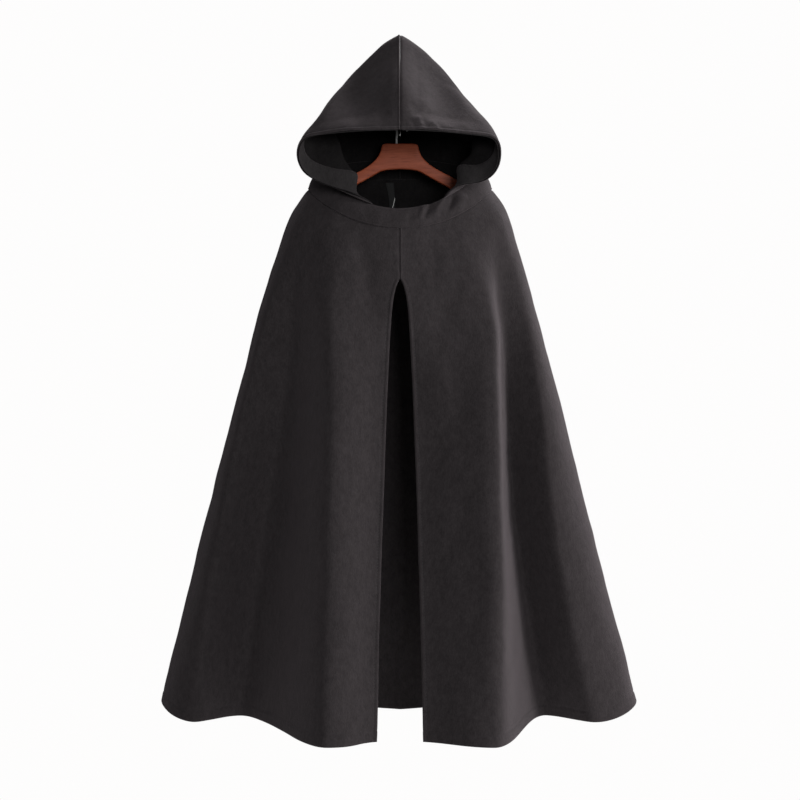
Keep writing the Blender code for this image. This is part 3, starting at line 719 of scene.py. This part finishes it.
def add_stitches(name, line, up, thread):
    """A row of stitches along a line: each is a bead of thread that rises out of the cloth and dips
    back into it."""
    length = lengths(line)
    starts = np.arange(STITCH_PITCH, length[-1] - STITCH_PITCH, STITCH_PITCH)
    round_thread = np.radians(np.arange(STITCH_SIDES) * 360 / STITCH_SIDES)
    share = np.linspace(0, 1, STITCH_RINGS)
    place = starts[:, None] + STITCH_LENGTH * share[None]
    middle = between(place, length, line)
    upwards = unit(between(place, length, up))
    ahead = unit(middle[:, -1:] - middle[:, :1])
    beside = np.cross(ahead, upwards)
    arch = np.sin(np.pi * share)[None, :, None]
    middle = middle + upwards * THREAD * (STITCH_ARCH * arch - STITCH_SUNK)
    ring = (upwards[:, :, None] * np.sin(round_thread)[:, None]
            + beside[:, :, None] * np.cos(round_thread)[:, None])
    points = middle[:, :, None] + ring * THREAD * (STITCH_END + STITCH_SWELL * arch[..., None])
    count, rings, sides = points.shape[:3]
    index = np.arange(count * rings * sides).reshape(count, rings, sides)
    after = np.roll(index, -1, axis=2)
    walls = np.stack([index[:, :-1], after[:, :-1], after[:, 1:], index[:, 1:]], axis=-1)
    faces = walls.reshape(-1, 4).tolist() + index[:, 0, ::-1].tolist() + index[:, -1].tolist()
    made = add_object(name, smooth_mesh(name, points.reshape(-1, 3).tolist(), faces), thread)


def clear_of_centre(points, sign):
    """points kept from crossing the plane X = 0 by more than the seam's lap."""
    moved = points.copy()
    moved[..., 0] = sign * np.maximum(sign * points[..., 0], -SEAM_LAP)
    return moved


# ---- The body
def body_rows():
    above = SLIT_TOP * np.linspace(0, 1, ROWS_ABOVE_SLIT)**ROWS_ABOVE_CURVE
    return np.concatenate([above, SLIT_TOP + (1 - SLIT_TOP) * crowded(ROWS_BELOW_SLIT)[1:]])


def add_front(side, sign, cloth, inside, thread):
    across, down = crowded(FRONT_STEPS), body_rows()
    points = front_surface(side, across, down)
    offset = neck_eased(outward_normals(points), lengths_along(points, 0), sign * 90 * across)
    points = creased(points, offset)
    points[0, :, 2] += SEAM_LAP
    points[:, -1, 1] += SEAM_LAP
    points = clear_of_centre(points, sign)
    add_sheet(f"front_{side}", points, offset, cloth, ("seam", "hem", "turned", "seam"), ["hanger"],
              inside=inside, seam_rows=ROWS_ABOVE_SLIT - SEWN_SHORT, lap=sign * LAP_LIFT)
    below = slice(ROWS_ABOVE_SLIT + STITCHED_FROM, None)
    add_stitches(f"front_{side}_stitches", *along_start(points[below], offset[below]), thread)


def add_back(cloth, painted_shade_inside):
    across = 2 * crowded(BACK_STEPS) - 1
    down = body_rows()
    points = back_surface(across, down)
    offset = neck_eased(outward_normals(points), lengths_along(points, 0), 180 - 90 * across)
    points = creased(points, offset)
    points[0, :, 2] += SEAM_LAP
    points[:, [0, -1], 1] -= SEAM_LAP
    # Painted shade: only the back's inside near the neck takes the dark inside wool, for the shade
    # there.
    inside_count = np.count_nonzero(points[:, len(across) // 2, 2] > NECK_SHADE_TO)
    add_sheet("back", points, offset, cloth, ("seam", "hem", "seam", "seam"), ["hanger"],
              inside=painted_shade_inside, inside_rows=inside_count)


# ---- The neck band and the hood
def add_neck_band(cloth, painted_shade_inside):
    degrees = np.linspace(-180, 180, BAND_AROUND + 1)
    points = band_surface(degrees, crowded(BAND_STEPS))
    offset = outward_normals(points)
    offset = neck_eased(offset, np.minimum(*edge_distances(points)[:2]), degrees)
    points = creased(points, offset)
    points[0, :, 2] -= SEAM_LAP
    points[-1, :, 2] += SEAM_LAP
    points[:, 0, 0] += SEAM_LAP
    points[:, -1, 0] -= SEAM_LAP
    add_sheet("neck_band", points, offset, cloth, ("lapped", "seam", "seam", "seam"),
              ["front_left", "front_right", "back"], inside=painted_shade_inside)


def add_hood_half(side, sign, cloth, painted_shade_inside, facing, thread):
    start = HOOD_EDGE_START[side]
    back = crowded(HOOD_BACK_STEPS)
    degrees = start + (180 - start) * back
    points = hood_surface(side, back, crowded(HOOD_UP_STEPS))
    offset = neck_eased(outward_normals(points), lengths_along(points, 0), sign * degrees)
    # The facing lies on the hood's own form, without its creases.
    strip, normals = facing_strip(points, offset)
    points = creased(points, offset)
    points[0, :, 2] -= SEAM_LAP
    points = clear_of_centre(points, sign)
    seam = "lapped" if sign < 0 else "seam"
    add_sheet(f"hood_{side}", points, offset, cloth, ("seam", seam, "turned", "seam"),
              ["neck_band"], inside=painted_shade_inside)
    add_stitches(f"hood_{side}_stitches", *along_start(points, offset), thread)
    add_sheet(f"hood_facing_{side}", strip, normals, facing, CUT_EDGES, [f"hood_{side}"],
              "facing_cloth", thickness=FACING)


def facing_strip(points, offset):
    """The strip inside the hood's face edge, FACING_WIDTH wide."""
    wide = lengths_along(points, 1)
    columns = int(np.searchsorted(wide.mean(axis=0), FACING_WIDTH)) + 1
    part = np.s_[FACING_ROWS_SHORT:-FACING_ROWS_SHORT, :columns]
    return points[part] - offset[part] * (CLOTH / 2 + FACING_GAP + FACING / 2), offset[part]


def add_label(finish):
    width, thickness, length = LABEL_SIZE
    aside = LABEL_X + width * np.linspace(-0.5, 0.5, LABEL_STEPS[0] + 1)
    across = np.degrees(np.arcsin(aside / NECK_HALF_WIDTH)) / 90
    down = (LABEL_TOP + length * np.linspace(0, 1, LABEL_STEPS[1] + 1)) / (NECK_SIDE_Z - HEM_Z)
    points = back_surface(across, down)
    offset = outward_normals(points)
    points = points - offset * (CLOTH / 2 + FACING_GAP + thickness / 2)
    add_sheet("neck_label", points, offset, finish, CUT_EDGES, ["back"], "label_satin",
              thickness=thickness)


# ---- The hanger
def hanger_edges():
    """The lower and the upper edge of the wood in X and Z, from its left end to its right one."""
    x, upper, lower = (np.array(column) for column in zip(*HANGER))
    share = np.linspace(0, 1, HANGER_STEPS)
    edges = []
    for z in (lower, upper):
        half = along([*zip(x[1:], z[1:]), HANGER_NOSE], share)
        # The hub's top runs level, so it has points of its own.
        level = range(HANGER_HUB_STEPS if z[0] == z[1] else 1)
        middle = [(x[1] * step / HANGER_HUB_STEPS, z[0]) for step in level]
        half = np.concatenate([middle, half])
        line = np.concatenate([half[:0:-1] * (-1, 1), half])
        for _ in range(HANGER_SMOOTHING):
            line[1:-1] = (line[:-2] + 2 * line[1:-1] + line[2:]) / 4
        length = lengths(line)
        edges.append(between(np.linspace(0, length[-1], 2 * HANGER_STEPS), length, line))
    return edges


def inset(outline, distance):
    """The outline, which runs anticlockwise, moved inwards."""
    ahead = unit(np.roll(outline, -1, axis=0) - np.roll(outline, 1, axis=0))
    return outline + distance * np.stack([-ahead[:, 1], ahead[:, 0]], axis=-1)


def add_hanger(finish):
    """The wooden hanger: its outline with rounded edges, front and back."""
    lower, upper = hanger_edges()
    outline = np.concatenate([lower, upper[-2:0:-1]])
    half = HANGER_THICK / 2
    turns = np.radians(np.linspace(0, 90, HANGER_ROUND_STEPS))
    rings = [(HANGER_ROUND * (1 - math.cos(a)), half - HANGER_ROUND + HANGER_ROUND * math.sin(a))
             for a in turns]
    profile = [(deep, -y) for deep, y in reversed(rings)] + rings
    points = [(x, y, z) for deep, y in profile for x, z in inset(outline, deep)]
    count = len(outline)
    index = np.arange(count * len(profile)).reshape(len(profile), count)
    after = np.roll(index, -1, axis=1)
    walls = np.stack([index[:-1], index[1:], after[1:], after[:-1]], axis=-1)
    high = -np.arange(len(lower)) % count
    # Each broad side is a strip of quads between the two edges, with a triangle at each end.
    faces = walls.reshape(-1, 4).tolist()
    for ring, turned in ((index[0], 1), (index[-1], -1)):
        for i in range(len(lower) - 1):
            corners = dict.fromkeys(int(ring[k]) for k in (i, i + 1, high[i + 1], high[i]))
            faces.append(list(corners)[::turned])
    made = add_object("hanger_arms", smooth_mesh("hanger_arms", points, faces), finish)
    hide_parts("hanger")


def hook_line():
    """The wire's middle line: straight up from the hub, then round the bend to its free end."""
    bend = HOOK_INSIDE + HOOK_WIRE
    stem = [(HOOK_STEM_X, z) for z in
            np.linspace(HANGER[0][1] - HOOK_SUNK + SEAM_GAP, HOOK_STEM_TOP, HOOK_STEM_STEPS)]
    centre_z = -HOOK_INSIDE
    angles = np.radians(np.linspace(HOOK_BEND_FROM, HOOK_BEND_TO, HOOK_BEND_STEPS))
    arc = [(bend * math.sin(a), centre_z + bend * math.cos(a)) for a in angles]
    knots = np.array([*stem, *arc])
    length = lengths(knots)
    return natural_spline(length, knots, np.linspace(0, length[-1], HOOK_POINTS))


def add_hook(steel):
    line = hook_line()
    data = bpy.data.curves.new("hook_wire", "CURVE")
    data.dimensions = "3D"
    data.bevel_depth = HOOK_WIRE
    data.bevel_resolution = 6
    data.use_fill_caps = True
    spline = data.splines.new("POLY")
    spline.points.add(len(line) - 1)
    for point, (x, z) in zip(spline.points, line):
        point.co = (x, 0, z, 1)
    made = add_object("hook_wire", data, steel)
    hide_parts("hanger_hook")


# ---- Materials
class Nodes:
    """Short hand for building one material's nodes."""

    def __init__(self, name):
        self.material = bpy.data.materials.new(name)
        self.material.use_nodes = True
        self.tree = self.material.node_tree
        self.shader = self.tree.nodes["Principled BSDF"]

    def add(self, kind, inputs=(), **settings):
        node = self.tree.nodes.new("ShaderNode" + kind)
        for key, value in settings.items():
            setattr(node, key, value)
        for key, value in dict(inputs).items():
            self.put(node.inputs[key], value)
        return node

    def maths(self, operation, *values):
        return self.add("Math", dict(enumerate(values)), operation=operation).outputs[0]

    def place(self):
        return self.add("TexCoord").outputs["Object"]

    def weave(self):
        return self.add("UVMap", uv_map="cloth").outputs["UV"]

    def put(self, socket, value):
        if isinstance(value, bpy.types.NodeSocket):
            self.tree.links.new(value, socket)
        else:
            socket.default_value = value

    def set(self, **values):
        for key, value in values.items():
            self.put(self.shader.inputs[key.replace("_", " ")], value)


def noise(nodes, where, scale, detail=3.0, roughness=0.6):
    made = nodes.add("TexNoise", {"Vector": where, "Scale": scale, "Detail": detail,
                                  "Roughness": roughness})
    return made.outputs["Fac"]


def blended(nodes, share, one, other):
    """A colour that has this share of other."""
    mix = nodes.add("Mix", {"Factor": share}, data_type="RGBA")
    nodes.put(mix.inputs[6], one)
    nodes.put(mix.inputs[7], other)
    return mix.outputs[2]


def mixed(nodes, share, one, other, low=0.35, high=0.65):
    """A colour between one and other as share goes from low to high."""
    ramp = nodes.add("MapRange", {"Value": share, "From Min": low, "From Max": high})
    return blended(nodes, ramp.outputs["Result"], one, other)


def shaded(colour, share):
    return (*[channel * share for channel in colour], 1)


def stretched(nodes, where, scale):
    return nodes.add("VectorMath", {0: where, 1: scale}, operation="MULTIPLY").outputs[0]


def bump(nodes, heights):
    """Bumps laid over each other. heights has (height socket, distance in metres, strength)."""
    normal = None
    for height, distance, strength in heights:
        made = nodes.add("Bump", {"Height": height, "Distance": distance, "Strength": strength})
        if normal is not None:
            nodes.put(made.inputs["Normal"], normal)
        normal = made.outputs["Normal"]
    return normal


def wool(name, dark, light, sheen, specular, fibre):
    """Brushed coating: charcoal fibres of uneven tone over a faint twill."""
    nodes = Nodes(name)
    where = nodes.place()
    woven = nodes.weave()
    blotch = noise(nodes, where, 26, 3)
    nap = noise(nodes, stretched(nodes, where, (1.0, 1.0, 0.45)), 520, 4, 0.7)
    mottle = noise(nodes, stretched(nodes, where, (1.0, 1.0, 0.6)), 135, 3, 0.55)
    lint = noise(nodes, where, 1500, 2)
    base = mixed(nodes, blotch, shaded(dark, 1), shaded(light, 1), 0.25, 0.75)
    flecked = mixed(nodes, nap, shaded(dark, 0.72), shaded(light, 1.35), 0.3, 0.72)
    brushed = mixed(nodes, mottle, shaded(dark, 0.68), shaded(light, 1.32), 0.3, 0.7)
    colour = blended(nodes, 0.45, blended(nodes, 0.55, base, brushed), flecked)
    twill = nodes.add("TexWave", {"Vector": woven, "Scale": 190, "Distortion": 1.2,
                                  "Detail": 1.0, "Detail Scale": 2.0},
                      wave_type="BANDS", bands_direction="DIAGONAL")
    normal = bump(nodes, [(twill.outputs["Fac"], 0.00012, 0.25), (mottle, 0.0009, 0.35 * fibre),
                          (nap, 0.0007, 0.6 * fibre), (lint, 0.00025, 0.5 * fibre)])
    nodes.set(Base_Color=colour, Roughness=0.92, Sheen_Weight=sheen, Sheen_Roughness=0.45,
              Sheen_Tint=SHEEN_TINT, Specular_IOR_Level=specular, Normal=normal)
    return nodes.material


def cotton(name):
    """Dark sewing thread, twisted."""
    nodes = Nodes(name)
    where = nodes.place()
    twist = noise(nodes, where, 2600, 2)
    colour = mixed(nodes, twist, *THREAD_COLOURS)
    nodes.set(Base_Color=colour, Roughness=0.7, Sheen_Weight=0.1, Specular_IOR_Level=0.3,
              Normal=bump(nodes, [(twist, 0.00012, 0.5)]))
    return nodes.material


def satin(name):
    nodes = Nodes(name)
    woven = nodes.weave()
    threads = nodes.add("TexWave", {"Vector": woven, "Scale": 620, "Distortion": 0.4},
                        bands_direction="X")
    colour = mixed(nodes, threads.outputs["Fac"], *SATIN_COLOURS, 0, 1)
    # A short pale line runs down the label at a slant.
    x, y, _ = nodes.add("SeparateXYZ", {0: woven}).outputs
    slant = nodes.maths("MULTIPLY_ADD", y, PALE_LINE_SLANT, x)
    away = nodes.maths("SUBTRACT", slant, PALE_LINE_X)
    above = nodes.maths("LESS_THAN", y, PALE_LINE_FROM)
    far = nodes.maths("ADD", nodes.maths("ABSOLUTE", away), above)
    colour = mixed(nodes, far, PALE_LINE_COLOUR, colour, *PALE_LINE_EDGE)
    nodes.set(Base_Color=colour, Roughness=0.55, Specular_IOR_Level=0.2,
              Normal=bump(nodes, [(threads.outputs["Fac"], 0.0001, 0.4)]))
    return nodes.material


def wood(name):
    """Stained wood: long grain along X under a thin varnish."""
    nodes = Nodes(name)
    where = nodes.place()
    grain = noise(nodes, stretched(nodes, where, (1.0, 7.0, 12.0)), 16, 6, 0.62)
    pores = noise(nodes, stretched(nodes, where, (1.0, 14.0, 26.0)), 60, 3, 0.6)
    colour = mixed(nodes, grain, *WOOD_COLOURS, 0.30, 0.70)
    darker = mixed(nodes, pores, WOOD_PORES, colour, 0.30, 0.48)
    nodes.set(Base_Color=darker, Roughness=0.50, Coat_Weight=0.05, Coat_Roughness=0.30,
              Specular_IOR_Level=0.22, Normal=bump(nodes, [(pores, 0.0002, 0.25)]))
    return nodes.material


def steel(name):
    nodes = Nodes(name)
    where = nodes.place()
    drawn = noise(nodes, stretched(nodes, where, (1.0, 1.0, 0.2)), 900, 2)
    colour = mixed(nodes, drawn, *STEEL_COLOURS)
    nodes.set(Base_Color=colour, Metallic=0.25, Roughness=0.34,
              Normal=bump(nodes, [(drawn, 0.00004, 0.3)]))
    return nodes.material


# ---- Surroundings
def add_floor():
    nodes = Nodes("pale_floor")
    nodes.set(Base_Color=FLOOR_COLOUR, Roughness=0.8)
    bpy.ops.mesh.primitive_circle_add(vertices=128, radius=FLOOR_RADIUS, fill_type="NGON",
                                      location=(0, 0, FLOOR_Z))
    floor = bpy.context.object
    floor.name = "floor"
    floor.data.materials.append(nodes.material)


def add_light(name, place, watts, colour):
    data = bpy.data.lights.new(name, "AREA")
    data.size = LIGHT_SIZE
    data.energy = watts
    data.color = colour
    made = bpy.data.objects.new(name, data)
    made.location = place
    made.rotation_euler = (Vector(LIGHT_AIM) - Vector(place)).to_track_quat("-Z", "Y").to_euler()
    made.visible_camera = False
    bpy.context.scene.collection.objects.link(made)


def add_world():
    """Even light, weak from in front and stronger from behind, and a near-white backdrop."""
    world = bpy.data.worlds.new("studio")
    world.use_nodes = True
    bpy.context.scene.world = world
    tree = world.node_tree
    add, link = tree.nodes.new, tree.links.new
    ambient = tree.nodes["Background"]
    direction = add("ShaderNodeTexCoord")
    parts = add("ShaderNodeSeparateXYZ")
    strength = add("ShaderNodeMapRange")
    for name, value in (("From Min", AMBIENT_TURN[0]), ("From Max", AMBIENT_TURN[1]),
                        ("To Min", AMBIENT_FRONT), ("To Max", AMBIENT_BEHIND)):
        strength.inputs[name].default_value = value
    backdrop = add("ShaderNodeBackground")
    backdrop.inputs["Color"].default_value = (*BACKDROP, 1)
    ray = add("ShaderNodeLightPath")
    mix = add("ShaderNodeMixShader")
    link(direction.outputs["Generated"], parts.inputs[0])
    link(parts.outputs["Y"], strength.inputs["Value"])
    link(strength.outputs[0], ambient.inputs["Strength"])
    ambient.inputs["Color"].default_value = (1, 1, 1, 1)
    link(ray.outputs["Is Camera Ray"], mix.inputs[0])
    link(ambient.outputs[0], mix.inputs[1])
    link(backdrop.outputs[0], mix.inputs[2])
    link(mix.outputs[0], tree.nodes["World Output"].inputs[0])


def add_camera():
    data = bpy.data.cameras.new("camera")
    data.lens = LENS
    data.sensor_width = SENSOR
    made = bpy.data.objects.new("camera", data)
    made.location = CAMERA
    made.rotation_euler = (math.radians(90), 0, 0)
    bpy.context.scene.collection.objects.link(made)
    bpy.context.scene.camera = made


def main():
    scene = bpy.context.scene
    scene.view_settings.view_transform = "Standard"
    add_camera()
    add_world()
    add_floor()
    for row in LIGHTS:
        add_light(*row)
    cloth = wool("coating_wool", *COATING_WOOL)
    facing = wool("facing_wool", *FACING_WOOL)
    # Painted shade: the dark inside wool goes on the inner sides that lie in shade.
    painted_shade_inside = wool("inside_shade_wool", *INSIDE_SHADE_WOOL)
    thread = cotton("sewing_thread")
    for side, sign in SIDES:
        add_front(side, sign, cloth, facing, thread)
        add_hood_half(side, sign, cloth, painted_shade_inside, facing, thread)
    add_back(cloth, painted_shade_inside)
    add_neck_band(cloth, painted_shade_inside)
    add_label(satin("label_weave"))
    add_hook(steel("hook_steel"))
    add_hanger(wood("hanger_wood"))


main()
